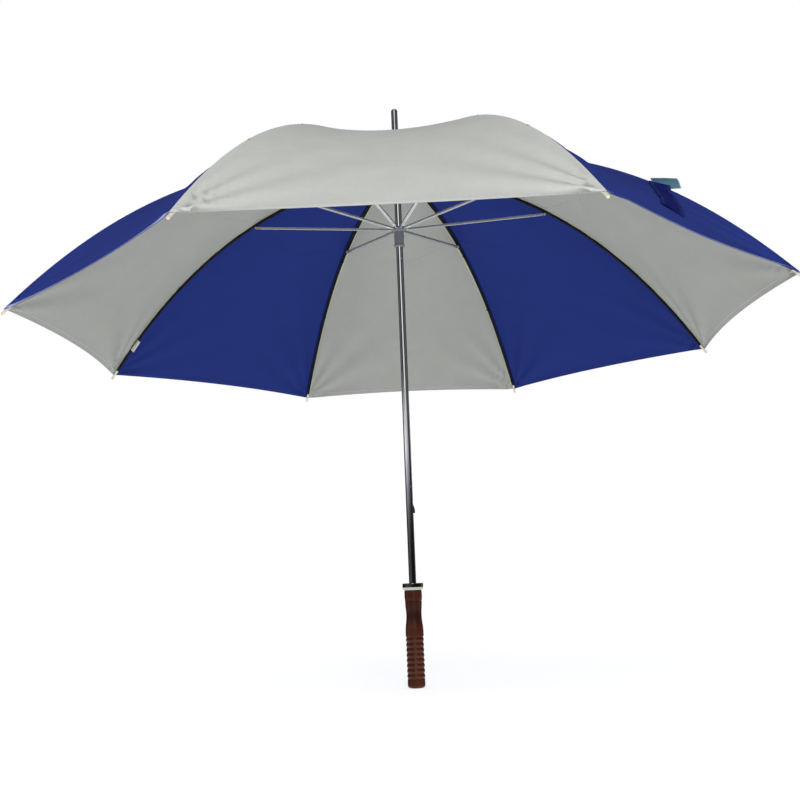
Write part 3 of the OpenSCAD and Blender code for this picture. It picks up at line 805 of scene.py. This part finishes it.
# What chrome sees round the horizon, as (share of a turn from -X, brightness). The camera stands at a quarter
# of a turn. Dark bands lie low down, with broad bright ones above them and a narrow bright one higher still.
LOW_BANDS = [
    (0.0, 0.03), (0.03, 0.04), (0.08, 0.07), (0.14, 0.03), (0.17, 0.07), (0.20, 0.02), (0.25, 0.012),
    (0.34, 0.006), (0.42, 0.004), (0.56, 0.02), (0.60, 0.2), (0.63, 0.01), (0.9, 0.004), (1.0, 0.03),
]
MID_BANDS = [
    (0.0, 0.25), (0.05, 0.95), (0.10, 0.9), (0.17, 0.7), (0.25, 0.52), (0.31, 0.36), (0.36, 0.22),
    (0.41, 0.01), (0.53, 0.01), (0.575, 0.4), (0.62, 0.02), (0.88, 0.01), (0.95, 0.01), (1.0, 0.25),
]
TOP_BANDS = [
    (0.0, 0.10), (0.06, 0.10), (0.12, 0.02), (0.185, 0.02), (0.215, 0.9), (0.265, 0.8), (0.30, 0.25),
    (0.335, 0.01), (0.38, 0.01), (0.42, 0.13), (0.50, 0.08), (0.60, 0.02), (0.9, 0.05), (1.0, 0.10),
]
FLOOR_GLOW = (0.68, 0.68, 0.66, 1)


def banded_ramp(tree, share, bands):
    ramp = add_node(tree, "ShaderNodeValToRGB", {"Fac": share})
    while len(ramp.color_ramp.elements) < len(bands):
        ramp.color_ramp.elements.new(0.5)
    for element, (place, value) in zip(ramp.color_ramp.elements, bands):
        element.position = place
        element.color = (value, value, value * 1.04, 1)
    return ramp.outputs["Color"]


def chrome_surround(tree):
    """The bands, mixed by how steeply a ray rises or falls."""
    way = add_node(tree, "ShaderNodeSeparateXYZ",
                   {"Vector": add_node(tree, "ShaderNodeTexCoord").outputs["Generated"]})
    turn = add_node(tree, "ShaderNodeMath", {0: way.outputs["Y"], 1: way.outputs["X"]}, operation="ARCTAN2")
    share = add_node(tree, "ShaderNodeMapRange",
                     {"Value": turn.outputs[0], "From Min": -math.pi, "From Max": math.pi}).outputs["Result"]
    low, mid, top = (banded_ramp(tree, share, bands) for bands in (LOW_BANDS, MID_BANDS, TOP_BANDS))

    def climb(start, end):
        heights = {"Value": way.outputs["Z"], "From Min": start, "From Max": end}
        return add_node(tree, "ShaderNodeMapRange", heights).outputs["Result"]

    def mix(factor, first, second):
        return add_node(tree, "ShaderNodeMix", {0: factor, 6: first, 7: second}, data_type="RGBA").outputs[2]

    rise = add_node(tree, "ShaderNodeMath", {0: climb(0.01, 0.125), 1: 2.6}, operation="POWER").outputs[0]
    above = mix(climb(0.13, 0.2), mix(rise, low, mid), top)
    return mix(climb(-0.12, -0.3), above, FLOOR_GLOW)


def studio():
    """White behind the object, an even dim surround for cloth, and bright and dark bands for chrome.

    The lamps, the floor and the cloth are left out of reflections."""
    world = bpy.data.worlds.new("studio")
    bpy.context.scene.world = world
    world.use_nodes = True
    tree = world.node_tree
    tree.nodes.clear()
    rays = add_node(tree, "ShaderNodeLightPath")
    lights = (((0.97, 0.98, 1.0, 1), 0.38), (chrome_surround(tree), 1.25), ((1, 1, 1, 1), 1.0))
    even, banded, white = (
        add_node(tree, "ShaderNodeBackground", {"Color": colour, "Strength": strength}).outputs[0]
        for colour, strength in lights
    )
    for_gloss = add_node(tree, "ShaderNodeMixShader", {0: rays.outputs["Is Glossy Ray"], 1: even, 2: banded})
    for_camera = add_node(tree, "ShaderNodeMixShader",
                          {0: rays.outputs["Is Camera Ray"], 1: for_gloss.outputs[0], 2: white})
    add_node(tree, "ShaderNodeOutputWorld", {"Surface": for_camera.outputs[0]})
    centre = (0, 0, 0.6)
    softbox("key", (0.3, -3.0, 1.1), centre, (1.5, 1.5), 25)
    softbox("fill", (-1.6, -1.8, 2.8), centre, (1.6, 1.6), 8)
    bpy.context.scene.view_settings.view_transform = "Standard"


camera()
floor()
studio()
